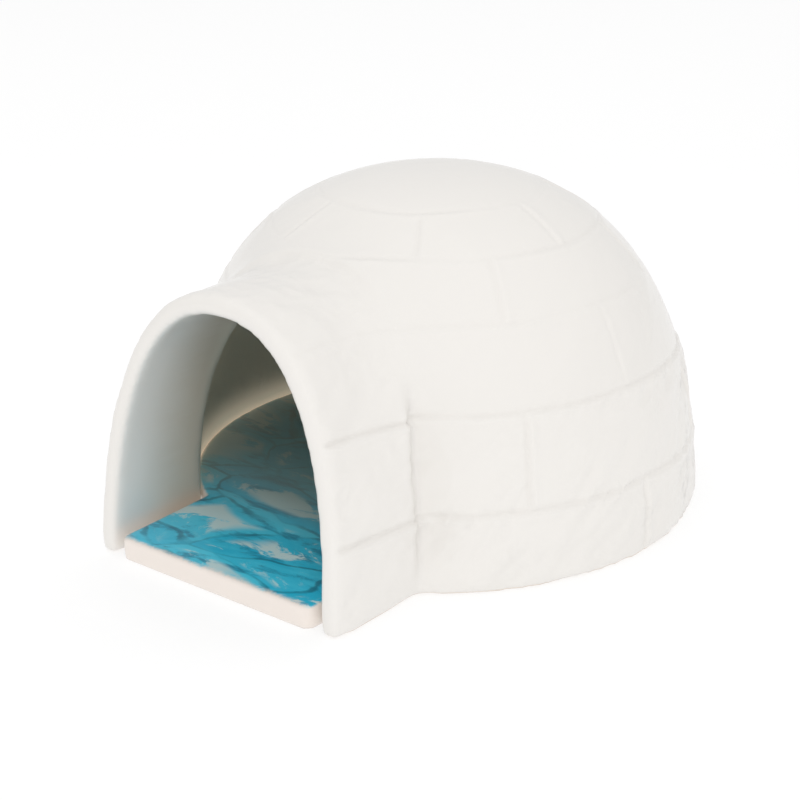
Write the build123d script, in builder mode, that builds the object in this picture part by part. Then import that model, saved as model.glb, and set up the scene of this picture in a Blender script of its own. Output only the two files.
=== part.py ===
from build123d import *
import math
import os

# Rodent igloo: a slip-cast ceramic dome with an entrance tunnel, standing over a loose floor plate.
# The origin is on the floor, on the dome's axis. The entrance faces -Y and +Z is up.
# Sizes are in millimetres and angles in degrees.

# Dome, outside. Fullness is the exponent of its oval profile: 2 would be a plain ellipse.
dome_radius = 80.0
dome_height = 99.5
dome_fullness = 2.36
dome_wall = 5.0

# Entrance tunnel, outside. Its front leans back from the foot.
tunnel_half_width = 45.4
tunnel_height = 82.0
tunnel_fullness = 2.33
tunnel_wall = 6.0
tunnel_back = -30.0
entrance_reach = 99.0
entrance_lean = 6.0

# Blends between dome and tunnel, and rounding of the cast edges
crease_radius = 7.0
inner_crease_radius = 4.0
lip_radius = 2.7
foot_radius = 1.2

# Courses of snow blocks: heights of the level grooves, and how much higher they run at the entrance
course_heights = (22.3, 48.6, 70.3, 84.7, 94.1)
tunnel_courses = 3
tunnel_course_rise = 2.6
groove_width = 1.6
groove_depth = 0.5

# Compass angle, from +X, of each upright joint, one row for each course from the floor up
course_joints = (
    (-3.0, 55.0, 118.0, 176.0),
    (-32.5, 26.0, 88.0, 148.0, 208.0),
    (-5.0, 57.0, 115.0, 178.0),
    (-33.5, 28.0, 90.0, 150.0, 211.0),
    (-6.0, 47.0, 99.0, 150.0, 202.0, 247.5, 302.0),
)

# Floor plate: a disc for the den and a tongue for the tunnel
plate_thickness = 6.5
plate_fall = 1.65  # degrees by which the top falls towards the entrance, for draining
disc_radius = 73.5
tongue_half_width = 36.5
tongue_reach = 98.3
tongue_corner = 4.0
neck_radius = 2.5
plate_top_round = 1.5
plate_bottom_round = 1.0

# How many points each curved outline is drawn through
outline_points = 9

os.makedirs("parts", exist_ok=True)

# Worked out from the sizes above. The surface's own seam is turned away from every joint.
den_radius = dome_radius - dome_wall
den_height = dome_height - dome_wall
passage_half_width = tunnel_half_width - tunnel_wall
passage_height = tunnel_height - tunnel_wall
tunnel_run = entrance_reach + tunnel_back
passage_overrun = 10.0
lean_rise = math.tan(math.radians(entrance_lean))
seam_angle = 73.0
seam_plane = Plane.XZ.rotated((0, 0, seam_angle))
entrance_face = Plane(origin=(0, -entrance_reach, 0), z_dir=(0, -1, lean_rise))
cutter_radius = (groove_width**2 / 4 + groove_depth**2) / (2 * groove_depth)
cutter_standoff = cutter_radius - groove_depth
joint_margin = cutter_radius + 0.2


def oval_point(half_width, height, fullness, turn):
    """Point of a full-bodied quarter oval, where turn runs from 0 at the foot to 90 at the top."""
    across = half_width * max(math.cos(math.radians(turn)), 0.0) ** (2 / fullness)
    up = height * math.sin(math.radians(turn)) ** (2 / fullness)
    return across, up


def quarter_oval(half_width, height, fullness):
    """Points along that quarter oval, from its foot to its top."""
    turns = [90 * step / (outline_points - 1) for step in range(outline_points)]
    return [oval_point(half_width, height, fullness, turn) for turn in turns]


def oval_width(half_width, height, fullness, level):
    """Half width of that oval at a level above its foot."""
    return half_width * (1 - (level / height) ** fullness) ** (1 / fullness)


def half_dome(radius, height):
    """Half section of a solid dome, to be turned about its upright axis."""
    with BuildSketch() as section:
        with BuildLine():
            Spline(*quarter_oval(radius, height, dome_fullness), tangents=[(0, 1), (-1, 0)])
            Polyline((0, height), (0, 0), (radius, 0))
        make_face()
    return section.sketch


def arch(half_width, height):
    """Section of a solid tunnel, to be extruded along its length."""
    right = quarter_oval(half_width, height, tunnel_fullness)
    left = [(-across, up) for across, up in reversed(right[:-1])]
    with BuildSketch() as section:
        with BuildLine():
            Spline(*right, *left, tangents=[(0, 1), (0, -1)])
            Line((-half_width, 0), (half_width, 0))
        make_face()
    return section.sketch


def crease_edge(solid):
    """The edge where the tunnel's arch runs into the dome: the curve that spans the middle."""
    curves = solid.edges().filter_by(GeomType.BSPLINE)
    arches = curves.filter_by(lambda edge: abs(edge.center().X) < 1)
    return arches.sort_by(Axis.Y)[-1]


def cutter_centre(half_width, height, fullness, level):
    """Where a round groove cutter runs for a groove at a level: just off the oval's outside."""
    step = 0.01
    width = oval_width(half_width, height, fullness, level)
    drawn_in = width - oval_width(half_width, height, fullness, level + step)
    slant = math.hypot(step, drawn_in)
    return width + cutter_standoff * step / slant, level + cutter_standoff * drawn_in / slant


def dome_cutter(level):
    """Radius and height of a cutter on the dome."""
    return cutter_centre(dome_radius, dome_height, dome_fullness, level)


def tunnel_cutter(level):
    """Distance from the middle plane and height of a cutter on the tunnel."""
    return cutter_centre(tunnel_half_width, tunnel_height, tunnel_fullness, level)


# Space inside the shell: den and passage as one body, cut out of the casting below
with BuildPart() as hollow:
    with BuildSketch(seam_plane):
        add(half_dome(den_radius, den_height))
    revolve(axis=Axis.Z)
    with BuildSketch(Plane.XZ.offset(-tunnel_back)):
        add(arch(passage_half_width, passage_height))
    extrude(amount=tunnel_run + passage_overrun)
    fillet(crease_edge(hollow), radius=inner_crease_radius)

# The shell: dome and tunnel cast as one, blended where they meet and rounded at the entrance
with BuildPart() as igloo_shell:
    with BuildSketch(seam_plane):
        add(half_dome(dome_radius, dome_height))
    revolve(axis=Axis.Z)
    with BuildSketch(Plane.XZ.offset(-tunnel_back)):
        add(arch(tunnel_half_width, tunnel_height))
    extrude(amount=tunnel_run + passage_overrun)
    split(bisect_by=entrance_face, keep=Keep.BOTTOM)
    fillet(crease_edge(igloo_shell), radius=crease_radius)
    add(hollow.part, mode=Mode.SUBTRACT)
    rim_face = igloo_shell.faces().filter_by(GeomType.PLANE).sort_by(Axis.Z)[-1]
    fillet(rim_face.edges().filter_by(GeomType.BSPLINE), radius=lip_radius)
    foot_face = igloo_shell.faces().filter_by(GeomType.PLANE).sort_by(Axis.Z)[0]
    fillet(foot_face.edges(), radius=foot_radius)

    # A ring groove round each course stops at the tunnel's blend, or goes all the way round above it.
    for row, level in enumerate(course_heights):
        ring_radius, ring_level = dome_cutter(level)
        gap = 0.0
        if row < tunnel_courses:
            half_width = oval_width(tunnel_half_width, tunnel_height, tunnel_fullness, level)
            gap = math.degrees(math.asin((half_width + crease_radius) / ring_radius))
        with BuildSketch(Plane.XZ.rotated((0, 0, gap - 90))):
            with Locations((ring_radius, ring_level)):
                Circle(cutter_radius)
        revolve(axis=Axis.Z, revolution_arc=360 - 2 * gap, mode=Mode.SUBTRACT)

    # The lower courses run on along both sides of the tunnel, a little higher at the entrance.
    for level in course_heights[:tunnel_courses]:
        across_back, up_back = tunnel_cutter(level)
        across_front, up_front = tunnel_cutter(level + tunnel_course_rise)
        meet = math.sqrt(dome_cutter(level)[0] ** 2 - across_back**2)
        front = entrance_reach - lip_radius - lean_rise * up_front
        for side in (-1, 1):
            start = Vector(side * across_back, -meet, up_back)
            finish = Vector(side * across_front, -front, up_front)
            with BuildSketch(Plane(origin=start, z_dir=finish - start)):
                Circle(cutter_radius)
            extrude(amount=(finish - start).length, mode=Mode.SUBTRACT)

    # Upright joints between blocks stop just short of the ring grooves.
    floors = (foot_radius - joint_margin,) + course_heights[:-1]
    for floor, ceiling, angles in zip(floors, course_heights, course_joints):
        low = floor + joint_margin
        high = ceiling - joint_margin
        for angle in angles:
            out = Vector(1, 0, 0).rotate(Axis.Z, angle)
            with BuildLine(Plane(origin=(0, 0, 0), x_dir=out, z_dir=out.cross(Vector(0, 0, 1)))) as joint:
                ThreePointArc(dome_cutter(low), dome_cutter((low + high) / 2), dome_cutter(high))
            with BuildSketch(Plane(origin=joint.line @ 0, z_dir=joint.line % 0)):
                Circle(cutter_radius)
            sweep(path=joint.line, mode=Mode.SUBTRACT)
igloo_shell.part.label = "igloo_shell"
export_step(igloo_shell.part, "parts/igloo_shell.step")

# The floor plate: disc and tongue in one slab with a sloping top, rounded all over
with BuildPart() as floor_plate:
    with BuildSketch() as keyhole:
        Circle(disc_radius)
        with Locations((0, -tongue_reach / 2)):
            Rectangle(2 * tongue_half_width, tongue_reach)
        front_corners = keyhole.vertices().group_by(Axis.Y)[0]
        fillet(front_corners, radius=tongue_corner)
        necks = keyhole.vertices().filter_by(lambda corner: abs(abs(corner.X) - tongue_half_width) < 0.01)
        fillet(necks.group_by(Axis.Y)[-1], radius=neck_radius)
    extrude(amount=2 * plate_thickness)
    top = Plane(origin=(0, -tongue_reach, plate_thickness)).rotated((plate_fall, 0, 0))
    split(bisect_by=top, keep=Keep.BOTTOM)
    fillet(floor_plate.faces().sort_by(Axis.Z)[-1].edges(), radius=plate_top_round)
    fillet(floor_plate.faces().sort_by(Axis.Z)[0].edges(), radius=plate_bottom_round)
floor_plate.part.label = "floor_plate"
export_step(floor_plate.part, "parts/floor_plate.step")
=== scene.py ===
"""Rodent igloo in glazed ceramic: a cast snow-house shell over a loose, ice-patterned floor plate.

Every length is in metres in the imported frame. The origin is on the floor, on the dome's axis; the
entrance faces -Y and +Z is up. The shell and the plate are remodelled at the size of their CAD
nodes, dressed in glaze, and set in a plain pale studio at the photograph's viewing angle.
"""

import logging
import math
from collections.abc import Callable
from dataclasses import dataclass, field
from enum import Enum

import bmesh
import bpy
import numpy as np
from mathutils import Matrix, Vector, noise

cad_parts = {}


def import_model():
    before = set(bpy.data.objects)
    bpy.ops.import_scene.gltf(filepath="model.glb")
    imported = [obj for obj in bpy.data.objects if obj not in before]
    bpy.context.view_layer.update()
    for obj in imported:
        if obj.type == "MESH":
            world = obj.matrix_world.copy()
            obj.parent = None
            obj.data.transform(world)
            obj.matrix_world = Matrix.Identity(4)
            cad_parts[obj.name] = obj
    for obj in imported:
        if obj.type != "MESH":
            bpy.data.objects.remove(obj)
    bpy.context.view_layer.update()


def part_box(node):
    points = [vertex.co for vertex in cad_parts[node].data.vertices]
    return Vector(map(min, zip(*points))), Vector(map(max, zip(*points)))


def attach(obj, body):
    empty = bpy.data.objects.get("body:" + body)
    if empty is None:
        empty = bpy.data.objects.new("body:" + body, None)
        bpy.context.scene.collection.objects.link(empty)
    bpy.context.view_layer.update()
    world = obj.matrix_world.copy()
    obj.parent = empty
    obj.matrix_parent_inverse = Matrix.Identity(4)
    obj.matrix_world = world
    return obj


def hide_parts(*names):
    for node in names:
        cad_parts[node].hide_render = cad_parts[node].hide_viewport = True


LOG = logging.getLogger("igloo")
MM = 0.001

Colour = tuple[float, float, float]


class Push(Enum):
    """Direction in which a soft push moves the clay."""

    OUTWARD = "NORMAL"
    SIDEWAYS = "X"
    ALONG = "Y"
    UP = "Z"


class Pick(Enum):
    """Kind of mesh element that is picked in edit mode."""

    POINTS = "VERT"
    EDGES = "EDGE"
    FACES = "FACE"


# Modelling by operators


def select_alone(piece: bpy.types.Object) -> None:
    """Select one piece alone in object mode and make it active."""
    active = bpy.context.view_layer.objects.active
    if active and active.mode != "OBJECT":
        bpy.ops.object.mode_set(mode="OBJECT")
    bpy.ops.object.select_all(action="DESELECT")
    piece.select_set(True)
    bpy.context.view_layer.objects.active = piece


def named_primitive(name: str) -> bpy.types.Object:
    """Name the primitive that was just added, bake its place into its mesh and open it for editing."""
    piece = bpy.context.object
    piece.name = name
    piece.data.name = name
    select_alone(piece)
    bpy.ops.object.transform_apply(location=True, rotation=True, scale=True)
    bpy.ops.object.mode_set(mode="EDIT")
    return piece


def choose(piece: bpy.types.Object, kind: Pick, test: Callable[[object], bool]) -> int:
    """Select, in edit mode, the elements that pass a test.

    Args:
        piece: The mesh object that is open in edit mode.
        kind: Points, edges or faces.
        test: Says for one element whether it is wanted.

    Returns:
        How many elements were selected.
    """
    bpy.ops.mesh.select_mode(type=kind.value)
    bpy.ops.mesh.select_all(action="DESELECT")
    mesh = bmesh.from_edit_mesh(piece.data)
    elements = {Pick.POINTS: mesh.verts, Pick.EDGES: mesh.edges, Pick.FACES: mesh.faces}[kind]
    wanted = [element for element in elements if test(element)]
    for element in wanted:
        element.select_set(True)
    mesh.select_flush_mode()
    bmesh.update_edit_mesh(piece.data)
    return len(wanted)


def move_along(distance: Vector) -> None:
    """Extrude what is selected by a straight move."""
    bpy.ops.mesh.extrude_region_move(TRANSFORM_OT_translate={"value": tuple(distance)})


def close_editing(piece: bpy.types.Object) -> None:
    """Turn every face outwards and go back to object mode."""
    bpy.ops.mesh.select_all(action="SELECT")
    bpy.ops.mesh.normals_make_consistent(inside=False)
    bpy.ops.object.mode_set(mode="OBJECT")
    LOG.debug("%s has %d faces", piece.name, len(piece.data.polygons))


def apply_modifier(piece: bpy.types.Object, kind: str, **settings: object) -> None:
    """Add a modifier with its settings and apply it at once."""
    select_alone(piece)
    modifier = piece.modifiers.new(kind.title(), kind)
    for key, value in settings.items():
        setattr(modifier, key, value)
    bpy.ops.object.modifier_apply(modifier=modifier.name)


def combine(piece: bpy.types.Object, other: bpy.types.Object, operation: str) -> None:
    """Unite a piece with another solid or cut that solid out, and drop the other."""
    apply_modifier(piece, "BOOLEAN", object=other, operation=operation, solver="EXACT")
    bpy.data.objects.remove(other)


def points_of(piece: bpy.types.Object) -> np.ndarray:
    """Vertex places of a mesh object, one a row."""
    flat = np.empty(len(piece.data.vertices) * 3, np.float32)
    piece.data.vertices.foreach_get("co", flat)
    return flat.reshape(-1, 3).astype(float)


def normals_of(piece: bpy.types.Object) -> np.ndarray:
    """Vertex normals of a mesh object, one a row."""
    flat = np.empty(len(piece.data.vertices) * 3, np.float32)
    piece.data.vertices.foreach_get("normal", flat)
    return flat.reshape(-1, 3).astype(float)


def face_centres_of(piece: bpy.types.Object) -> np.ndarray:
    """Face centres of a mesh object, one a row."""
    flat = np.empty(len(piece.data.polygons) * 3, np.float32)
    piece.data.polygons.foreach_get("center", flat)
    return flat.reshape(-1, 3).astype(float)


def weigh(piece: bpy.types.Object, name: str, weights: np.ndarray) -> str:
    """Store weights from 0 to 1 in a vertex group.

    Args:
        piece: The mesh object.
        name: Name of the group, replaced if it is there.
        weights: One weight for each vertex.

    Returns:
        The group's name, for a modifier's vertex_group.
    """
    old = piece.vertex_groups.get(name)
    if old:
        piece.vertex_groups.remove(old)
    group = piece.vertex_groups.new(name=name)
    steps = 1000
    levels = np.round(np.clip(weights, 0.0, 1.0) * steps).astype(int)
    order = np.argsort(levels, kind="stable")
    values, starts = np.unique(levels[order], return_index=True)
    for value, rows in zip(values, np.split(order, starts[1:])):
        group.add(rows.tolist(), value / steps, "REPLACE")
    return name


def push(piece: bpy.types.Object, amounts: np.ndarray, way: Push = Push.OUTWARD) -> None:
    """Move the surface softly by a Displace modifier for each sign.

    Args:
        piece: The mesh object.
        amounts: Signed distance in metres for each vertex.
        way: Direction of a positive amount.
    """
    for sign in (1.0, -1.0):
        part = np.clip(amounts * sign, 0.0, None)
        peak = float(part.max())
        if peak < 1e-7:
            continue
        name = weigh(piece, "push", part / peak)
        apply_modifier(piece, "DISPLACE", direction=way.value, mid_level=0.0, strength=sign * peak,
                       vertex_group=name)


def relax(piece: bpy.types.Object, weights: np.ndarray, rounds: int) -> None:
    """Soften the surface where the weights are high."""
    name = weigh(piece, "relax", weights)
    apply_modifier(piece, "SMOOTH", factor=0.5, iterations=rounds, vertex_group=name)


def refine(piece: bpy.types.Object, wanted: np.ndarray) -> None:
    """Subdivide the faces that are marked in an array of one flag for each face."""
    select_alone(piece)
    bpy.context.tool_settings.mesh_select_mode = (False, False, True)
    mesh = piece.data
    mesh.vertices.foreach_set("select", np.zeros(len(mesh.vertices), bool))
    mesh.edges.foreach_set("select", np.zeros(len(mesh.edges), bool))
    mesh.polygons.foreach_set("select", wanted.astype(bool))
    bpy.ops.object.mode_set(mode="EDIT")
    bpy.ops.mesh.subdivide(number_cuts=1)
    bpy.ops.object.mode_set(mode="OBJECT")


def fit_to_box(piece: bpy.types.Object, low: Vector, high: Vector) -> None:
    """Stretch a piece by a hair so that its box is the CAD node's box."""
    points = points_of(piece)
    own_low = Vector(points.min(axis=0))
    own_high = Vector(points.max(axis=0))
    ratio = [(high[i] - low[i]) / (own_high[i] - own_low[i]) for i in range(3)]
    select_alone(piece)
    bpy.ops.object.mode_set(mode="EDIT")
    bpy.ops.mesh.select_all(action="SELECT")
    bpy.ops.transform.resize(value=ratio, center_override=tuple(own_low))
    bpy.ops.transform.translate(value=tuple(low - own_low))
    bpy.ops.object.mode_set(mode="OBJECT")
    LOG.info("%s fitted by factors %.4f %.4f %.4f", piece.name, *ratio)


def store(piece: bpy.types.Object, name: str, values: np.ndarray) -> None:
    """Keep one number for each vertex as an attribute that the finish reads."""
    attribute = piece.data.attributes.new(name, "FLOAT", "POINT")
    attribute.data.foreach_set("value", values.astype(np.float32))


def recall(piece: bpy.types.Object, name: str) -> np.ndarray:
    """Read back an attribute of one number for each vertex."""
    values = np.empty(len(piece.data.vertices), np.float32)
    piece.data.attributes[name].data.foreach_get("value", values)
    return values.astype(float)


def rise(low: float, high: float, values: np.ndarray) -> np.ndarray:
    """Go softly from 0 at low to 1 at high; low may be the greater of the two."""
    share = np.clip((values - low) / (high - low), 0.0, 1.0)
    return share * share * (3.0 - 2.0 * share)


def lumps(points: np.ndarray, size: Vector, shift: float) -> np.ndarray:
    """Soft noise at each point, about -1 to 1.

    Args:
        points: Places in metres, one a row.
        size: Size of a lump along each axis, in metres.
        shift: Moves the pattern, so that two uses differ.

    Returns:
        One value for each row.
    """
    scaled = points / np.array(size) + np.array((shift, shift * 1.7, shift * 0.3))
    return np.array([noise.noise(Vector(row)) for row in scaled])


# Outlines


@dataclass(frozen=True)
class OvalForm:
    """A full-bodied oval outline that stands on the floor.

    It joins (half_width, 0) to (0, height). Fullness 2 is an ellipse, and more is squarer.
    """

    half_width: float
    height: float
    fullness: float

    def place(self, turn: float) -> tuple[float, float]:
        """Point of the outline at an angle from the floor."""
        power = 2.0 / self.fullness
        wide = self.half_width * max(math.cos(turn), 0.0) ** power
        tall = self.height * max(math.sin(turn), 0.0) ** power
        return wide, tall

    def gap(self, across: np.ndarray, up: np.ndarray) -> np.ndarray:
        """Distance of points outside the outline; it is negative inside."""
        wide = np.maximum(np.abs(across) / self.half_width, 1e-6)
        tall = np.maximum(up / self.height, 1e-6)
        reach = (wide**self.fullness + tall**self.fullness) ** (1.0 / self.fullness)
        slope_wide = (wide / reach) ** (self.fullness - 1.0) / self.half_width
        slope_tall = (tall / reach) ** (self.fullness - 1.0) / self.height
        return (reach - 1.0) / np.hypot(slope_wide, slope_tall)

    def inset(self, wall: float) -> "OvalForm":
        """The same outline drawn in by a wall thickness."""
        return OvalForm(self.half_width - wall, self.height - wall, self.fullness)

    def shape(self, piece: bpy.types.Object) -> None:
        """Bring the points of a unit circle that is open in edit mode onto the outline."""
        mesh = bmesh.from_edit_mesh(piece.data)
        for vert in mesh.verts:
            turn = math.atan2(max(vert.co.z, 0.0), abs(vert.co.x))
            wide, tall = self.place(turn)
            vert.co.x = math.copysign(wide, vert.co.x) if abs(vert.co.x) > 1e-5 else 0.0
            vert.co.z = tall
        bmesh.update_edit_mesh(piece.data)


def spun_dome(name: str, form: OvalForm, skirt: float) -> bpy.types.Object:
    """Spin a quarter outline into a closed dome.

    Args:
        name: Name of the new piece.
        form: Outline of the dome from foot to crown.
        skirt: How far the dome goes on below the floor.

    Returns:
        The closed solid, in object mode.
    """
    bpy.ops.mesh.primitive_circle_add(vertices=256, radius=1.0, rotation=(math.pi / 2, 0.0, 0.0))
    piece = named_primitive(name)
    choose(piece, Pick.POINTS, lambda vert: vert.co.x < -1e-5 or vert.co.z < -1e-5)
    bpy.ops.mesh.delete(type="VERT")
    form.shape(piece)
    bpy.ops.mesh.select_all(action="SELECT")
    bpy.ops.mesh.spin(steps=240, angle=math.tau, center=(0.0, 0.0, 0.0), axis=(0.0, 0.0, 1.0))
    bpy.ops.mesh.select_all(action="SELECT")
    bpy.ops.mesh.remove_doubles(threshold=1e-6)
    choose(piece, Pick.EDGES, lambda edge: edge.is_boundary)
    move_along(Vector((0.0, 0.0, -skirt)))
    bpy.ops.mesh.edge_face_add()
    close_editing(piece)
    return piece


def drawn_tunnel(name: str, form: OvalForm, front: float, back: float, skirt: float) -> bpy.types.Object:
    """Draw an arch outline out along Y into a closed tunnel.

    Args:
        name: Name of the new piece.
        form: Half outline of the arch from foot to top.
        front: Where the tunnel starts on Y.
        back: Where it ends on Y.
        skirt: How far it goes on below the floor.

    Returns:
        The closed solid, left in edit mode.
    """
    bpy.ops.mesh.primitive_circle_add(vertices=256, radius=1.0, fill_type="NGON",
                                      rotation=(math.pi / 2, 0.0, 0.0))
    piece = named_primitive(name)
    bpy.ops.mesh.select_all(action="SELECT")
    bpy.ops.mesh.bisect(plane_co=(0.0, 0.0, 0.0), plane_no=(0.0, 0.0, -1.0), clear_outer=True)
    form.shape(piece)
    choose(piece, Pick.EDGES, lambda edge: all(vert.co.z < 1e-6 for vert in edge.verts))
    move_along(Vector((0.0, 0.0, -skirt)))
    bpy.ops.mesh.select_all(action="SELECT")
    bpy.ops.transform.translate(value=(0.0, front, 0.0))
    move_along(Vector((0.0, back - front, 0.0)))
    return piece


# The cast shell


@dataclass(frozen=True)
class SnowCourse:
    """One course of cast snow blocks, by the line that closes it above.

    Attributes:
        height: Height of the line on the dome.
        depth: Depth of the line.
        ridge: How proud the clay stands beside the line.
        joints: Angles round +Z from +X of the upright lines below, in degrees.
        relief: How rough the snow of this course is cast.
    """

    height: float
    depth: float
    ridge: float
    joints: tuple[float, ...]
    relief: float


@dataclass
class SnowRelief:
    """The pattern of blocks and tooled snow that is cast into the outside."""

    courses: tuple[SnowCourse, ...] = (
        SnowCourse(22.3 * MM, 0.50 * MM, 0.34 * MM, (-3.2, 55.0, 118.0, 176.0), 1.60 * MM),
        SnowCourse(48.6 * MM, 0.46 * MM, 0.34 * MM, (-32.5, 26.0, 88.0, 148.0, 208.0), 1.35 * MM),
        SnowCourse(70.3 * MM, 0.20 * MM, 0.12 * MM, (-5.0, 57.0, 115.0, 178.0), 0.34 * MM),
        SnowCourse(84.7 * MM, 0.30 * MM, 0.24 * MM, (-33.6, 28.0, 90.0, 150.0, 211.0, 273.0), 0.26 * MM),
        SnowCourse(94.1 * MM, 0.28 * MM, 0.24 * MM, (-5.7, 47.0, 99.0, 150.0, 202.0, 247.6, 302.1),
                   0.26 * MM),
    )
    crown_relief: float = 0.16 * MM
    tunnel_relief: float = 0.80 * MM
    line_half_width: float = 0.80 * MM
    ridge_offset: float = 1.7 * MM
    ridge_half_width: float = 1.1 * MM
    tunnel_lines: tuple[tuple[float, float], ...] = (
        (22.3 * MM, 23.6 * MM),
        (48.6 * MM, 50.0 * MM),
        (70.4 * MM, 71.0 * MM),
    )
    tunnel_ends: tuple[float, float] = (-55.0 * MM, -97.0 * MM)

    def ring_height(self, row: int, points: np.ndarray, on_tunnel: np.ndarray) -> np.ndarray:
        """Height of a course line at each point: level on the dome, rising along the tunnel."""
        level = np.full(len(points), self.courses[row].height)
        if row < len(self.tunnel_lines):
            back, front = self.tunnel_lines[row]
            start, end = self.tunnel_ends
            share = np.clip((points[:, 1] - start) / (end - start), 0.0, 1.0)
            level += on_tunnel * (back + (front - back) * share - level)
        wander = lumps(points, Vector((26.0, 26.0, 60.0)) * MM, 3.0 + row)
        return level + 0.55 * MM * wander

    def offsets(self, points: np.ndarray, slope: np.ndarray, on_tunnel: np.ndarray) -> list[tuple]:
        """Signed distance along the surface from every line.

        Args:
            points: Places on the outside, one a row.
            slope: How steep the surface is at each, 1 where it is upright.
            on_tunnel: 1 on the tunnel and 0 on the dome.

        Returns:
            For each line its course, the signed distances and where the line is present.
        """
        lines = []
        turn = np.degrees(np.arctan2(points[:, 1], points[:, 0]))
        radius = np.hypot(points[:, 0], points[:, 1])
        levels = [self.ring_height(row, points, on_tunnel) for row in range(len(self.courses))]
        floor = np.zeros(len(points))
        for row, course in enumerate(self.courses):
            above = levels[row] - points[:, 2]
            presence = np.ones(len(points))
            if row > 1:
                worn = lumps(points, Vector((30.0, 30.0, 30.0)) * MM, 41.0 + row)
                presence = 0.35 + 0.65 * rise(-0.30, 0.15, worn)
                presence = np.maximum(presence, 0.8 * on_tunnel)
            else:
                presence = presence + 0.6 * on_tunnel
            if row >= len(self.tunnel_lines):
                presence = presence * (1.0 - on_tunnel)
            lines.append((course, above / slope, presence))
            below = points[:, 2] - (levels[row - 1] if row else floor)
            within = rise(-0.4 * MM, 0.6 * MM, above) * rise(-0.4 * MM, 0.6 * MM, below)
            for joint in course.joints:
                aside = np.radians((turn - joint + 180.0) % 360.0 - 180.0) * radius
                wander = lumps(points, Vector((60.0, 60.0, 14.0)) * MM, joint)
                near = np.abs(aside) < 20.0 * MM
                lines.append((course, aside + 0.6 * MM * wander, within * near * (1.0 - on_tunnel)))
        return lines

    def line_push(self, lines: list[tuple]) -> np.ndarray:
        """Depth of the cut lines and height of the ridges beside them, signed outwards."""
        deepest = np.zeros(len(lines[0][1]))
        proudest = np.zeros(len(deepest))
        for course, aside, presence in lines:
            cut = np.exp(-((aside / self.line_half_width) ** 2)) * presence * course.depth
            swell = np.exp(-(((aside - self.ridge_offset) / self.ridge_half_width) ** 2))
            deepest = np.maximum(deepest, cut)
            proudest = np.maximum(proudest, swell * presence * course.ridge)
        return proudest - deepest

    def near_line(self, lines: list[tuple], reach: float) -> np.ndarray:
        """True where any line is nearer than a distance along the surface."""
        near = np.zeros(len(lines[0][1]), bool)
        for _course, aside, presence in lines:
            near |= (np.abs(aside) < reach) & (presence > 0.02)
        return near

    def roughness_at(self, points: np.ndarray, on_tunnel: np.ndarray) -> np.ndarray:
        """How strongly the snow is tooled at each point."""
        height = points[:, 2]
        strength = np.full(len(points), self.courses[0].relief)
        levels = [course.height for course in self.courses]
        reliefs = [course.relief for course in self.courses[1:]] + [self.crown_relief]
        for level, relief in zip(levels, reliefs):
            strength += (relief - strength) * rise(level - 0.8 * MM, level + 0.8 * MM, height)
        return strength + on_tunnel * (self.tunnel_relief - strength)

    def snow_push(self, points: np.ndarray, on_tunnel: np.ndarray) -> np.ndarray:
        """Tooled snow: slanting gouges with soft ridges between them, signed outwards."""
        lean = points[:, 2] / (80.0 * MM)
        turned = points.copy()
        turned[:, 0] = points[:, 0] * np.cos(-lean) - points[:, 1] * np.sin(-lean)
        turned[:, 1] = points[:, 0] * np.sin(-lean) + points[:, 1] * np.cos(-lean)
        broad = lumps(turned, Vector((9.0, 9.0, 17.0)) * MM, 11.0)
        gouge = 1.0 - 2.0 * np.abs(lumps(turned, Vector((5.0, 5.0, 9.0)) * MM, 5.0)) ** 0.8
        fine = lumps(points, Vector((3.2, 3.2, 4.2)) * MM, 23.0)
        patchy = rise(-0.35, 0.30, lumps(points, Vector((16.0, 16.0, 13.0)) * MM, 31.0))
        mixed = 0.60 * broad + (0.36 * gouge + 0.12 * fine) * (0.35 + 0.65 * patchy)
        return mixed * self.roughness_at(points, on_tunnel)


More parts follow.
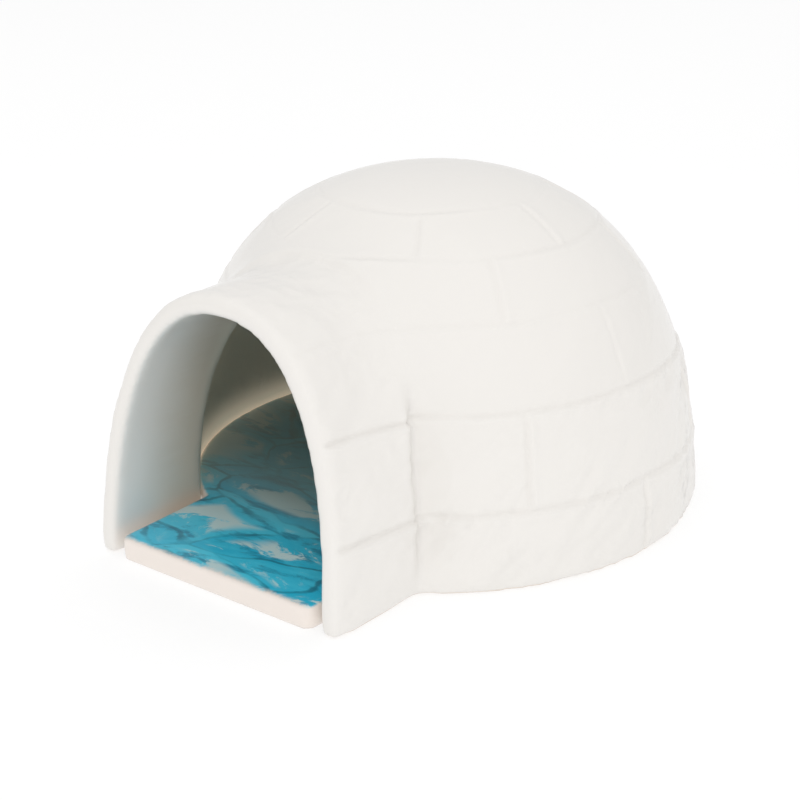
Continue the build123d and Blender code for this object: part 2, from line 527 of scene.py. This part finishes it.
@dataclass
class IglooShell:
    """The cast shell: dome and entrance tunnel in one, open below, with its relief of snow blocks."""

    dome: OvalForm
    reach: float
    low: Vector
    high: Vector
    tunnel: OvalForm = OvalForm(45.4 * MM, 82.0 * MM, 2.33)
    dome_wall: float = 5.0 * MM
    tunnel_wall: float = 6.0 * MM
    lean: float = math.radians(6.0)
    tunnel_back: float = -30.0 * MM
    grain: float = 1.32 * MM
    lip_setback: float = 0.9 * MM
    relief: SnowRelief = field(default_factory=SnowRelief)

    @classmethod
    def from_frame(cls) -> "IglooShell":
        """Size the shell from its CAD node."""
        low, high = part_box("igloo_shell")
        return cls(dome=OvalForm(high.x, high.z, 2.36), reach=-low.y, low=Vector(low), high=Vector(high))

    def front_gap(self, points: np.ndarray) -> np.ndarray:
        """Distance in front of the leaning entrance face; it is negative behind it."""
        ahead = -points[:, 1] - self.reach
        return ahead * math.cos(self.lean) + points[:, 2] * math.sin(self.lean)

    def outer_solid(self) -> bpy.types.Object:
        """Dome and tunnel as one solid, cut flat at the floor and upright at the entrance."""
        skirt = 4.0 * MM
        solid = spun_dome("igloo_shell_cast", self.dome, skirt)
        spare = 1.2 * MM
        tunnel = drawn_tunnel("tunnel_body", self.tunnel, -self.reach - 12.0 * MM, self.tunnel_back, skirt)
        bpy.ops.mesh.select_all(action="SELECT")
        bpy.ops.mesh.bisect(
            plane_co=(0.0, -self.reach - spare, 0.0),
            plane_no=(0.0, -1.0, 0.0),
            use_fill=True,
            clear_outer=True,
        )
        close_editing(tunnel)
        combine(solid, tunnel, "UNION")
        select_alone(solid)
        bpy.ops.object.mode_set(mode="EDIT")
        bpy.ops.mesh.select_all(action="SELECT")
        bpy.ops.mesh.bisect(plane_co=(0.0, 0.0, 0.0), plane_no=(0.0, 0.0, -1.0), use_fill=True,
                            clear_outer=True)
        close_editing(solid)
        return solid

    def hollow_solid(self) -> bpy.types.Object:
        """Den and passage as one solid that reaches out of the foot and the entrance."""
        skirt = 8.0 * MM
        hollow = spun_dome("den_hollow", self.dome.inset(self.dome_wall), skirt)
        passage = drawn_tunnel("passage_hollow", self.tunnel.inset(self.tunnel_wall),
                               -self.reach - 20.0 * MM, self.tunnel_back, skirt)
        close_editing(passage)
        combine(hollow, passage, "UNION")
        return hollow

    def skin_masks(self, points: np.ndarray) -> tuple[np.ndarray, np.ndarray]:
        """Tell the outside from the hollow, and the tunnel from the dome.

        Args:
            points: Places on the shell, one a row.

        Returns:
            1 on the outer skin, and 1 on the tunnel.
        """
        x, y, z = points.T
        radius = np.hypot(x, y)
        dome_middle = self.dome.inset(self.dome_wall / 2).gap(radius, z)
        tunnel_middle = self.tunnel.inset(self.tunnel_wall / 2).gap(x, z)
        tunnel_middle = np.where(y > self.tunnel_back, 1.0, tunnel_middle)
        outside = rise(-0.3 * MM, 0.3 * MM, np.minimum(dome_middle, tunnel_middle))
        dome_gap = self.dome.gap(radius, z)
        tunnel_gap = np.where(y > self.tunnel_back, 1.0, self.tunnel.gap(x, z))
        on_tunnel = rise(-1.5 * MM, 1.5 * MM, dome_gap - tunnel_gap)
        return outside, on_tunnel

    def crease_weight(self, points: np.ndarray, wall: float, tunnel_wall: float,
                      spread: float) -> np.ndarray:
        """1 where the tunnel's skin meets the dome's, fading away over a spread."""
        x, y, z = points.T
        dome_gap = self.dome.inset(wall).gap(np.hypot(x, y), z)
        tunnel_gap = self.tunnel.inset(tunnel_wall).gap(x, z)
        away = np.hypot(dome_gap, tunnel_gap)
        return np.exp(-((away / spread) ** 2)) * (y < self.tunnel_back)

    def soften(self, shell: bpy.types.Object) -> None:
        """Round the voxel steps, the crease round the tunnel, the lip and the foot."""
        apply_modifier(shell, "SMOOTH", factor=0.5, iterations=5)
        points = points_of(shell)
        outside, _on_tunnel = self.skin_masks(points)
        high_up = rise(42.0 * MM, 52.0 * MM, points[:, 2])
        crease = self.crease_weight(points, 0.0, 0.0, 6.0 * MM) * outside
        relax(shell, crease * (1.0 - high_up), 8)
        crease = self.crease_weight(points, 0.0, 0.0, 17.0 * MM) * outside
        relax(shell, crease * high_up, 480)
        hollow_crease = self.crease_weight(points, self.dome_wall, self.tunnel_wall, 7.0 * MM)
        relax(shell, hollow_crease * (1.0 - outside), 16)
        ahead = -points[:, 1] - self.reach
        lip = rise(-7.0 * MM, -3.0 * MM, ahead)
        relax(shell, lip, 10)
        corner = lip * rise(7.0 * MM, 2.0 * MM, points[:, 2])
        relax(shell, corner, 10)
        points = points_of(shell)
        forward = rise(-62.0 * MM, -90.0 * MM, points[:, 1])
        push(shell, math.tan(self.lean) * points[:, 2] * forward, Push.ALONG)
        LOG.info("shell softened at the crease, the lip and the foot")

    def settle(self, shell: bpy.types.Object) -> None:
        """Give the casting its hand-made unevenness."""
        self.splay_feet(shell)
        self.fill_shoulder(shell)
        self.shape_crease(shell)
        self.lift_foot(shell)

    def splay_feet(self, shell: bpy.types.Object) -> None:
        """Spread the feet of the tunnel a little to the sides."""
        x, y, z = points_of(shell).T
        splay = 0.25 * MM * rise(14.0 * MM, 0.0, z) * rise(-58.0 * MM, -80.0 * MM, y)
        push(shell, splay * np.sign(x), Push.SIDEWAYS)

    def fill_shoulder(self, shell: bpy.types.Object) -> None:
        """Make the tunnel's shoulders fuller where they run into the dome."""
        points = points_of(shell)
        _x, y, z = points.T
        outside, on_tunnel = self.skin_masks(points)
        shoulder = np.exp(-(((y + 58.0 * MM) / (12.0 * MM)) ** 2)) * on_tunnel * outside
        shoulder = shoulder * rise(20.0 * MM, 50.0 * MM, z) * rise(88.0 * MM, 70.0 * MM, z)
        push(shell, 1.6 * MM * shoulder)

    def shape_crease(self, shell: bpy.types.Object) -> None:
        """Hollow the crease between tunnel and dome low down and fill it high up."""
        points = points_of(shell)
        x, y, z = points.T
        outside, on_tunnel = self.skin_masks(points)
        dome_side = np.exp(-((self.tunnel.gap(x, z) / (8.0 * MM)) ** 2)) * (1.0 - on_tunnel) * (y < 0.0)
        tunnel_side = np.exp(-((self.dome.gap(np.hypot(x, y), z) / (14.0 * MM)) ** 2)) * on_tunnel
        low_part = outside * rise(1.0 * MM, 16.0 * MM, z) * rise(64.0 * MM, 46.0 * MM, z)
        high_part = outside * rise(46.0 * MM, 58.0 * MM, z) * rise(92.0 * MM, 80.0 * MM, z)
        hollowed = (1.5 * MM * tunnel_side - 2.3 * MM * dome_side) * low_part
        filled = (1.8 * MM * dome_side - 0.6 * MM * tunnel_side) * high_part
        push(shell, hollowed + filled)

    def lift_foot(self, shell: bpy.types.Object) -> None:
        """Dent the foot ring on the right and lift the tunnel's rear left foot off the floor."""
        x, y, z = points_of(shell).T
        dent = np.exp(-((np.hypot(x - 73.0 * MM, y + 32.0 * MM) / (6.0 * MM)) ** 2))
        lifted = np.exp(-((np.hypot(x + 45.0 * MM, y + 61.0 * MM) / (9.0 * MM)) ** 2))
        push(shell, (0.5 * MM * dent + 2.6 * MM * lifted) * rise(9.0 * MM, 0.0, z), Push.UP)

    def cast_relief(self, shell: bpy.types.Object) -> None:
        """Cut the block lines and tool the snow on the outer skin."""
        centres = face_centres_of(shell)
        outside, on_tunnel = self.skin_masks(centres)
        steep = self.steepness(centres, on_tunnel)
        lines = self.relief.offsets(centres, steep, on_tunnel)
        ahead = self.front_gap(centres)
        near_line = self.relief.near_line(lines, 2.3 * MM) & (outside > 0.5) & (ahead < -0.5 * MM)
        refine(shell, near_line | (ahead > -6.5 * MM))
        apply_modifier(shell, "SMOOTH", factor=0.5, iterations=1)
        points = points_of(shell)
        _outside, on_tunnel = self.skin_masks(points)
        outside = recall(shell, "outer")
        normals = normals_of(shell)
        steep = np.sqrt(np.clip(1.0 - normals[:, 2] ** 2, 0.04, 1.0))
        lines = self.relief.offsets(points, steep, on_tunnel)
        behind_lip = rise(0.0, -3.0 * MM, self.front_gap(points))
        away_from_rims = behind_lip * rise(0.2 * MM, 2.5 * MM, points[:, 2])
        faded = outside * away_from_rims
        cut = self.relief.line_push(lines) * outside * (0.35 + 0.65 * away_from_rims)
        cut = cut * rise(0.5 * MM, -1.5 * MM, self.front_gap(points))
        push(shell, cut + self.relief.snow_push(points, on_tunnel) * faded)
        # Keep the depth of the cut lines; the finish darkens the glaze there, partly as pooled glaze and
        # partly as painted shade.
        store(shell, "pooled_and_shaded", np.clip(-cut / (0.6 * MM), 0.0, 1.0))

    def steepness(self, points: np.ndarray, on_tunnel: np.ndarray) -> np.ndarray:
        """How steep the outer skin is at each point, 1 where it is upright."""
        x, y, z = points.T
        step = 0.5 * MM
        radius = np.hypot(x, y)
        dome_up = self.dome.gap(radius, z + step) - self.dome.gap(radius, z)
        tunnel_up = self.tunnel.gap(x, z + step) - self.tunnel.gap(x, z)
        up = dome_up + on_tunnel * (tunnel_up - dome_up)
        return np.sqrt(np.clip(1.0 - (up / step) ** 2, 0.04, 1.0))

    def thin_hollow(self, shell: bpy.types.Object) -> None:
        """Use fewer faces in the plain hollow, where nothing is cast."""
        points = points_of(shell)
        outside, _on_tunnel = self.skin_masks(points)
        deep = (1.0 - outside) * rise(-10.0 * MM, -14.0 * MM, self.front_gap(points))
        name = weigh(shell, "thin", deep * rise(3.0 * MM, 5.0 * MM, points[:, 2]))
        apply_modifier(shell, "DECIMATE", decimate_type="COLLAPSE", ratio=0.72, vertex_group=name,
                       vertex_group_factor=1000.0)

    def build(self) -> bpy.types.Object:
        """Model the shell.

        Returns:
            The finished shell as one closed mesh.
        """
        shell = self.outer_solid()
        combine(shell, self.hollow_solid(), "DIFFERENCE")
        apply_modifier(shell, "REMESH", mode="VOXEL", voxel_size=self.grain, use_smooth_shade=True)
        LOG.info("shell remeshed with %d faces", len(shell.data.polygons))
        store(shell, "outer", self.skin_masks(points_of(shell))[0])
        self.soften(shell)
        self.settle(shell)
        self.thin_hollow(shell)
        self.cast_relief(shell)
        fit_to_box(shell, self.low + Vector((0.0, self.lip_setback, 0.0)), self.high)
        points = points_of(shell)
        inside = 1.0 - recall(shell, "outer")
        # Mask of the painted shade in the hollow: 0 at the entrance, rising to 1 deep in the passage and
        # the den.
        store(shell, "hollow", inside * rise(-5.0 * MM, -30.0 * MM, self.front_gap(points)))
        shell.vertex_groups.clear()
        select_alone(shell)
        bpy.ops.object.shade_smooth()
        return shell

    def place(self) -> None:
        """Build the shell, dress it and hang it on its body."""
        shell = self.build()
        shell.data.materials.clear()
        shell.data.materials.append(WhiteGlaze().material())
        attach(shell, "shell")
        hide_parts("igloo_shell")
        LOG.info("%s: %d vertices", shell.name, len(shell.data.vertices))


# The floor plate


@dataclass
class FloorPlate:
    """The loose ceramic floor: a disc in the den with a tongue that runs out under the tunnel."""

    low: Vector
    high: Vector
    disc_radius: float = 73.5 * MM
    tongue_half_width: float = 36.5 * MM
    tongue_reach: float = 98.3 * MM
    tongue_corner: float = 4.0 * MM
    fall: float = math.radians(1.65)
    grain: float = 0.85 * MM

    @classmethod
    def from_frame(cls) -> "FloorPlate":
        """Size the plate from its CAD node."""
        low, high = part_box("floor_plate")
        return cls(low=Vector(low), high=Vector(high), tongue_reach=-low.y)

    def build(self) -> bpy.types.Object:
        """Model the plate.

        Returns:
            The finished plate as one closed mesh.
        """
        slope = math.tan(self.fall)
        thickness = self.high.z - (self.disc_radius + self.tongue_reach) * slope
        bpy.ops.mesh.primitive_circle_add(vertices=256, radius=self.disc_radius, fill_type="NGON")
        plate = named_primitive("floor_plate_cast")
        bpy.ops.mesh.select_all(action="SELECT")
        move_along(Vector((0.0, 0.0, thickness)))
        close_editing(plate)
        middle = (self.tongue_reach + 40.0 * MM) / 2
        bpy.ops.mesh.primitive_cube_add(size=1.0, location=(0.0, -middle, thickness / 2),
                                        scale=(2 * self.tongue_half_width, 2 * (self.tongue_reach - middle),
                                               thickness))
        tongue = named_primitive("floor_tongue")
        front = -self.tongue_reach + 1e-5
        choose(tongue, Pick.EDGES, lambda edge: all(vert.co.y < front for vert in edge.verts)
               and abs(edge.verts[0].co.z - edge.verts[1].co.z) > 1e-5)
        bpy.ops.mesh.bevel(offset=self.tongue_corner, segments=8, affect="EDGES")
        close_editing(tongue)
        combine(plate, tongue, "UNION")
        apply_modifier(plate, "REMESH", mode="VOXEL", voxel_size=self.grain, use_smooth_shade=True)
        apply_modifier(plate, "SMOOTH", factor=0.5, iterations=5)
        points = points_of(plate)
        climb = (points[:, 1] + self.tongue_reach) * slope
        push(plate, climb * rise(0.15, 0.85, points[:, 2] / thickness), Push.UP)
        points = points_of(plate)
        uneven = lumps(points, Vector((30.0, 30.0, 30.0)) * MM, 2.0) * 0.22 * MM
        uneven += lumps(points, Vector((11.0, 11.0, 11.0)) * MM, 7.0) * 0.07 * MM
        push(plate, uneven * rise(0.5 * MM, 2.0 * MM, points[:, 2]))
        fit_to_box(plate, self.low, self.high)
        store(plate, "from_edge", self.from_edge(points_of(plate)))
        store(plate, "from_front", points_of(plate)[:, 1] + self.tongue_reach)
        plate.vertex_groups.clear()
        select_alone(plate)
        bpy.ops.object.shade_smooth()
        return plate

    def from_edge(self, points: np.ndarray) -> np.ndarray:
        """Distance of each point inside the plate's outline."""
        x, y, _z = points.T
        disc = self.disc_radius - np.hypot(x, y)
        tongue = np.minimum(self.tongue_half_width - np.abs(x), y + self.tongue_reach)
        tongue = np.where(y > -40.0 * MM, -1.0, tongue)
        return np.maximum(disc, tongue)

    def place(self) -> None:
        """Build the plate, dress it and lay it on its body."""
        plate = self.build()
        plate.data.materials.clear()
        plate.data.materials.append(IceGlaze().material())
        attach(plate, "plate")
        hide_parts("floor_plate")
        LOG.info("%s: %d vertices", plate.name, len(plate.data.vertices))


# Finishes


class NodeBench:
    """Adds shader nodes to one tree and wires them."""

    def __init__(self, tree: bpy.types.NodeTree) -> None:
        """Start with an empty tree."""
        self.tree = tree
        self.tree.nodes.clear()

    def add(self, kind: str, inputs: dict | None = None, **settings: object) -> bpy.types.Node:
        """Add a node.

        Args:
            kind: The node's type without its ShaderNode or NodeGroup prefix.
            inputs: Values or output sockets by input name or number.
            settings: The node's own properties.

        Returns:
            The new node.
        """
        full = kind if kind.startswith("NodeGroup") else "ShaderNode" + kind
        node = self.tree.nodes.new(full)
        for key, value in settings.items():
            setattr(node, key, value)
        for key, value in (inputs or {}).items():
            if isinstance(value, bpy.types.NodeSocket):
                self.tree.links.new(value, node.inputs[key])
            else:
                node.inputs[key].default_value = value
        return node

    def math(self, operation: str, first: object, second: object = 0.0) -> bpy.types.NodeSocket:
        """Combine two values."""
        return self.add("Math", {0: first, 1: second}, operation=operation).outputs[0]

    def ramp(self, value: object, low: float, high: float, start: float = 0.0,
             end: float = 1.0) -> bpy.types.NodeSocket:
        """Go softly from start to end while a value goes from low to high."""
        inputs = {"Value": value, "From Min": low, "From Max": high, "To Min": start, "To Max": end}
        return self.add("MapRange", inputs, interpolation_type="SMOOTHSTEP").outputs[0]

    def blend(self, share: object, first: object, second: object, way: str = "MIX") -> bpy.types.NodeSocket:
        """Blend two colours by a share."""
        if not isinstance(first, bpy.types.NodeSocket):
            first = (*first, 1.0)
        if not isinstance(second, bpy.types.NodeSocket):
            second = (*second, 1.0)
        node = self.add("Mix", {0: share, 6: first, 7: second}, data_type="RGBA", blend_type=way)
        return node.outputs[2]

    def noise(self, place: object, size: float, detail: float = 2.0, rough: float = 0.5,
              warp: float = 0.0) -> bpy.types.Node:
        """Noise whose lumps have a size in metres."""
        inputs = {"Vector": place, "Scale": 1.0 / size, "Detail": detail, "Roughness": rough,
                  "Distortion": warp}
        return self.add("TexNoise", inputs)


def shared_group(name: str, inputs: tuple, outputs: tuple) -> tuple[bpy.types.NodeTree, NodeBench]:
    """Start a shader node group.

    Args:
        name: Name of the group.
        inputs: Name and socket type of each input.
        outputs: Name and socket type of each output.

    Returns:
        The group's tree and a bench in it.
    """
    tree = bpy.data.node_groups.new(name, "ShaderNodeTree")
    for label, kind in inputs:
        tree.interface.new_socket(label, in_out="INPUT", socket_type=kind)
    for label, kind in outputs:
        tree.interface.new_socket(label, in_out="OUTPUT", socket_type=kind)
    return tree, NodeBench(tree)


def glaze_skin() -> bpy.types.NodeTree:
    """Group: the fine waves that every fired glaze on this object has."""
    existing = bpy.data.node_groups.get("glaze_skin")
    if existing:
        return existing
    tree, bench = shared_group(
        "glaze_skin",
        (("Place", "NodeSocketVector"),),
        (("Height", "NodeSocketFloat"),),
    )
    source = tree.nodes.new("NodeGroupInput")
    place = source.outputs["Place"]
    ripple = bench.noise(place, 2.6 * MM, 1.0, 0.4).outputs[0]
    wave = bench.noise(place, 9.0 * MM, 1.0, 0.4).outputs[0]
    height = bench.math("ADD", bench.math("MULTIPLY", ripple, 0.25), wave)
    sink = tree.nodes.new("NodeGroupOutput")
    tree.links.new(height, sink.inputs["Height"])
    return tree


def new_material(name: str) -> tuple[bpy.types.Material, NodeBench]:
    """Start a node material with an empty tree."""
    material = bpy.data.materials.new(name)
    material.use_nodes = True
    return material, NodeBench(material.node_tree)


def finish_material(bench: NodeBench, shader: bpy.types.Node) -> None:
    """Send a shader to the surface output."""
    bench.add("OutputMaterial", {"Surface": shader.outputs[0]})


@dataclass(frozen=True)
class WhiteGlaze:
    """Warm white gloss glaze over cast snow, with painted shade in the hollow, a darker mix of pooled glaze
    and painted shade in the cut lines, and a bare foot ring.

    Light that comes through and under the thin rim shows as a warm band at the foot of the den's
    wall, and the glaze glows faintly there in its place.
    """

    white: Colour = (0.815, 0.790, 0.755)
    # Glaze pooled in the cut lines, darker partly as painted shade.
    pooled_and_shaded: Colour = (0.740, 0.700, 0.650)
    # Painted shade: darker, warmer tones for the passage and the den stand in for the shade inside the
    # shell.
    passage: Colour = (0.610, 0.535, 0.445)
    hollow: Colour = (0.800, 0.740, 0.630)
    # Painted light: a lighter warm band at the foot of the den's wall.
    lit_foot: Colour = (0.900, 0.830, 0.730)
    bare: Colour = (0.780, 0.690, 0.600)
    # Painted light: the faint glow of that band.
    seeping: Colour = (0.220, 0.190, 0.140)

    def material(self) -> bpy.types.Material:
        """Build the material."""
        material, bench = new_material("white_glaze_cast")
        place = bench.add("TexCoord").outputs["Object"]
        skin = bench.add("Group", node_tree=glaze_skin())
        bench.tree.links.new(place, skin.inputs["Place"])
        # Painted shade in the cut lines, partly glaze pooled there: the glaze goes a little darker where
        # the lines are cut deep.
        pool_and_shade = bench.add("Attribute", attribute_name="pooled_and_shaded").outputs["Fac"]
        colour = bench.blend(bench.math("MULTIPLY", pool_and_shade, 0.15), self.white, self.pooled_and_shaded)
        # Painted shade in the hollow: the passage's darker tone gives way to the den's, blended in by the
        # hollow mask.
        hollow_shade = bench.add("Attribute", attribute_name="hollow").outputs["Fac"]
        _across, along, height = bench.add("SeparateXYZ", {0: place}).outputs
        in_den = bench.ramp(along, -66.0 * MM, -56.0 * MM)
        hollow_shade_and_light = bench.blend(in_den, self.passage, self.hollow)
        # Painted light: the foot of the den's wall is made lighter and warmer, and glows faintly, where
        # light comes in under the rim.
        foot_light_band = bench.math("MULTIPLY", bench.ramp(height, 24.0 * MM, 8.0 * MM), in_den)
        hollow_shade_and_light = bench.blend(foot_light_band, hollow_shade_and_light, self.lit_foot)
        colour = bench.blend(hollow_shade, colour, hollow_shade_and_light)
        seep = bench.math("MULTIPLY", bench.math("MULTIPLY", foot_light_band, foot_light_band), hollow_shade)
        foot = bench.ramp(height, 0.9 * MM, 0.35 * MM)
        colour = bench.blend(foot, colour, self.bare)
        rough = bench.math("MAXIMUM", bench.math("MULTIPLY", foot, 0.7), 0.30)
        bump = bench.add("Bump", {"Strength": 0.3, "Distance": 0.25 * MM, "Height": skin.outputs["Height"]})
        shader = bench.add("BsdfPrincipled", {
            "Base Color": colour, "Roughness": rough, "Normal": bump.outputs[0], "IOR": 1.5,
            "Coat Weight": 0.25, "Coat Roughness": 0.12,
            "Emission Color": bench.blend(seep, (0.0, 0.0, 0.0), self.seeping),
            "Emission Strength": 1.0,
        })
        finish_material(bench, shader)
        return material


@dataclass(frozen=True)
class IceGlaze:
    """Blue ice floes under a clear glaze, greyed and darkened in the den by painted shade, fading to cream
    clay at the plate's edge.
    """

    deep: Colour = (0.006, 0.200, 0.340)
    outline: Colour = (0.005, 0.130, 0.210)
    blue: Colour = (0.016, 0.480, 0.700)
    bright: Colour = (0.070, 0.620, 0.820)
    frost: Colour = (0.560, 0.740, 0.760)
    # Painted shade: the print's tone where the shell shades it.
    shaded: Colour = (0.270, 0.350, 0.330)
    cream: Colour = (0.850, 0.775, 0.715)
    floe_size: float = 27.0 * MM

    def material(self) -> bpy.types.Material:
        """Build the material."""
        material, bench = new_material("ice_glaze_plate")
        place = bench.add("TexCoord").outputs["Object"]
        skin = bench.add("Group", node_tree=glaze_skin())
        bench.tree.links.new(place, skin.inputs["Place"])
        floes, seam, frost, streak = self.floes(bench, place)
        colour = bench.blend(floes, self.blue, self.bright)
        colour = bench.blend(streak, colour, self.deep)
        colour = bench.blend(frost, colour, self.frost)
        colour = bench.blend(seam, colour, self.outline)
        along = bench.add("SeparateXYZ", {0: place}).outputs[1]
        # Painted shade: the print is greyed and darkened from the back of the tunnel into the den, where
        # the shell shades it.
        colour = bench.blend(bench.ramp(along, -74.0 * MM, -40.0 * MM, 0.0, 0.68), colour, self.shaded)
        shown = self.shown(bench, place)
        colour = bench.blend(shown, self.cream, colour)
        bump = bench.add("Bump", {"Strength": 0.3, "Distance": 0.25 * MM, "Height": skin.outputs["Height"]})
        shader = bench.add("BsdfPrincipled", {
            "Base Color": colour, "Roughness": 0.28, "Normal": bump.outputs[0], "IOR": 1.5,
            "Coat Weight": 0.4, "Coat Roughness": 0.1,
        })
        finish_material(bench, shader)
        return material

    def floes(self, bench: NodeBench, place: bpy.types.NodeSocket) -> tuple:
        """Masks of the floes: brightness of each, seams between them, frost and brushed streaks."""
        turned = bench.add("Mapping", {"Vector": place, "Rotation": (0.0, 0.0, math.radians(-14.0)),
                                       "Scale": (0.72, 1.25, 0.0)}).outputs[0]
        drift = bench.noise(turned, 30.0 * MM, 2.0, 0.5).outputs[1]
        offset = bench.add("VectorMath", {0: drift, 1: (-0.5, -0.5, -0.5)}, operation="ADD").outputs[0]
        offset = bench.add("VectorMath", {0: offset, "Scale": 20.0 * MM}, operation="SCALE").outputs[0]
        warped = bench.add("VectorMath", {0: turned, 1: offset}, operation="ADD").outputs[0]
        scale = 1.0 / self.floe_size
        cell = bench.add("TexVoronoi", {"Vector": warped, "Scale": scale}, feature="F1")
        edge = bench.add("TexVoronoi", {"Vector": warped, "Scale": scale}, feature="DISTANCE_TO_EDGE")
        tone = bench.add("SeparateColor", {0: cell.outputs["Color"]}).outputs[0]
        brushed = bench.add("Mapping", {"Vector": warped, "Rotation": (0.0, 0.0, math.radians(25.0)),
                                        "Scale": (0.75, 1.5, 1.0)}).outputs[0]
        brush = bench.noise(brushed, 6.0 * MM, 8.0, 0.70, 0.5).outputs[0]
        floes = bench.math("ADD", bench.math("MULTIPLY", tone, 0.45), bench.math("MULTIPLY", brush, 0.75))
        floes = bench.ramp(floes, 0.30, 0.80)
        seam = bench.ramp(bench.math("ADD", edge.outputs["Distance"],
                                     bench.math("MULTIPLY", brush, 0.06)), 0.058, 0.036)
        cloud = bench.noise(warped, 14.0 * MM, 9.0, 0.72, 0.5).outputs[0]
        core = bench.ramp(cell.outputs["Distance"], 0.55, 0.10, 0.0, 0.11)
        cloud = bench.math("ADD", bench.math("ADD", cloud, core), bench.math("MULTIPLY", tone, 0.10))
        frost = bench.ramp(cloud, 0.535, 0.60)
        rim = bench.ramp(edge.outputs["Distance"], 0.05, 0.16)
        frost = bench.math("MULTIPLY", frost, rim)
        streak = bench.math("MULTIPLY", bench.ramp(bench.noise(brushed, 10.0 * MM, 8.0, 0.68).outputs[0],
                                                   0.50, 0.64), 0.8)
        broken = bench.ramp(bench.noise(warped, 19.0 * MM, 3.0, 0.6).outputs[0], 0.38, 0.60, 0.15, 0.75)
        return floes, bench.math("MULTIPLY", seam, broken), frost, streak

    def shown(self, bench: NodeBench, place: bpy.types.NodeSocket) -> bpy.types.NodeSocket:
        """Mask of the printed part of the plate, with a ragged brushed border."""
        edge = bench.add("Attribute", attribute_name="from_edge").outputs["Fac"]
        front = bench.add("Attribute", attribute_name="from_front").outputs["Fac"]
        ragged = bench.noise(place, 3.5 * MM, 5.0, 0.7, 1.5).outputs[0]
        ragged = bench.math("MULTIPLY", bench.math("SUBTRACT", ragged, 0.5), 3.0 * MM)
        inner = bench.ramp(bench.math("ADD", front, ragged), 0.8 * MM, 3.0 * MM)
        side = bench.ramp(bench.math("ADD", edge, bench.math("MULTIPLY", ragged, 0.3)), 0.4 * MM, 1.4 * MM)
        normal = bench.add("SeparateXYZ", {0: bench.add("NewGeometry").outputs["Normal"]}).outputs[2]
        top = bench.ramp(normal, 0.55, 0.85)
        return bench.math("MULTIPLY", bench.math("MULTIPLY", inner, side), top)


@dataclass(frozen=True)
class StudioPaper:
    """Plain pale top of the studio's light table."""

    tone: Colour = (0.38, 0.38, 0.38)
    glow: float = 0.64

    def material(self) -> bpy.types.Material:
        """Build the material."""
        material, bench = new_material("studio_paper")
        place = bench.add("TexCoord").outputs["Object"]
        fibre = bench.noise(place, 40.0 * MM, 3.0, 0.6).outputs[0]
        darker = tuple(part * 0.995 for part in self.tone)
        colour = bench.blend(bench.ramp(fibre, 0.3, 0.7), self.tone, darker)
        shader = bench.add("BsdfPrincipled", {
            "Base Color": colour, "Roughness": 0.9, "Specular IOR Level": 0.1,
            "Emission Color": (1.0, 1.0, 1.0, 1.0), "Emission Strength": self.glow,
        })
        finish_material(bench, shader)
        return material


# The studio


@dataclass(frozen=True)
class Lamp:
    """A square lamp: its place in metres, its power in watts and the length of its side."""

    name: str
    place: tuple[float, float, float]
    power: float
    size: float

    def hang(self) -> None:
        """Hang the lamp so that it looks at the igloo and leaves no hot spot in the glaze."""
        data = bpy.data.lights.new(self.name, "AREA")
        data.energy = self.power
        data.size = self.size
        lamp = bpy.data.objects.new(self.name, data)
        bpy.context.scene.collection.objects.link(lamp)
        lamp.location = self.place
        lamp.visible_glossy = False
        aim = Vector((0.0, 0.0, 0.04)) - Vector(self.place)
        lamp.rotation_euler = aim.to_track_quat("-Z", "Y").to_euler()


@dataclass
class Studio:
    """Pale floor, soft light and the photograph's camera."""

    eye: Vector = Vector((300.0, -377.0, 205.9)) * MM
    yaw: float = math.radians(39.735)
    pitch: float = math.radians(20.382)
    roll: float = math.radians(0.974)
    lens: float = 75.14
    floor_width: float = 12.0
    air: float = 0.78
    lamps: tuple[Lamp, ...] = (
        Lamp("front_lamp", (0.78, -0.84, 0.96), 5.2, 0.5),
        Lamp("high_lamp", (-0.35, 0.10, 1.35), 2.0, 1.2),
    )

    def camera(self) -> None:
        """Set the camera at the place and turn found from the photograph."""
        data = bpy.data.cameras.new("photo_camera")
        data.sensor_width = 36.0
        data.lens = self.lens
        data.clip_start = 0.01
        data.clip_end = 50.0
        camera = bpy.data.objects.new("photo_camera", data)
        bpy.context.scene.collection.objects.link(camera)
        level_ahead = math.cos(self.pitch)
        facing = Vector((-math.sin(self.yaw), math.cos(self.yaw), 0.0))
        ahead = facing * level_ahead + Vector((0.0, 0.0, -math.sin(self.pitch)))
        level = Vector((math.cos(self.yaw), math.sin(self.yaw), 0.0))
        down = ahead.cross(level)
        right = math.cos(self.roll) * level + math.sin(self.roll) * down
        under = math.cos(self.roll) * down - math.sin(self.roll) * level
        turn = Matrix((right, -under, -ahead)).transposed()
        camera.matrix_world = Matrix.Translation(self.eye) @ turn.to_4x4()
        bpy.context.scene.camera = camera

    def floor(self) -> None:
        """Lay a wide plain floor just under the object."""
        bpy.ops.mesh.primitive_plane_add(size=self.floor_width, location=(0.0, 0.0, -0.05 * MM))
        floor = named_primitive("studio_floor")
        bpy.ops.object.mode_set(mode="OBJECT")
        floor.data.materials.append(StudioPaper().material())

    def light(self) -> None:
        """Light the set from a bright even surround and two soft lamps."""
        world = bpy.data.worlds.new("studio_air")
        bpy.context.scene.world = world
        world.use_nodes = True
        bench = NodeBench(world.node_tree)
        air = bench.add("Background", {"Color": (1.0, 1.0, 1.0, 1.0), "Strength": self.air})
        bench.add("OutputWorld", {"Surface": air.outputs[0]})
        for lamp in self.lamps:
            lamp.hang()
        bpy.context.scene.view_settings.view_transform = "Standard"

    def set_up(self) -> None:
        """Make the whole studio."""
        self.camera()
        self.floor()
        self.light()


def main() -> None:
    """Load the frame, build the pieces in order and set the studio."""
    logging.basicConfig(level=logging.INFO, format="%(name)s: %(message)s")
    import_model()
    Studio().set_up()
    FloorPlate.from_frame().place()
    IglooShell.from_frame().place()


if __name__ == "__main__":
    main()
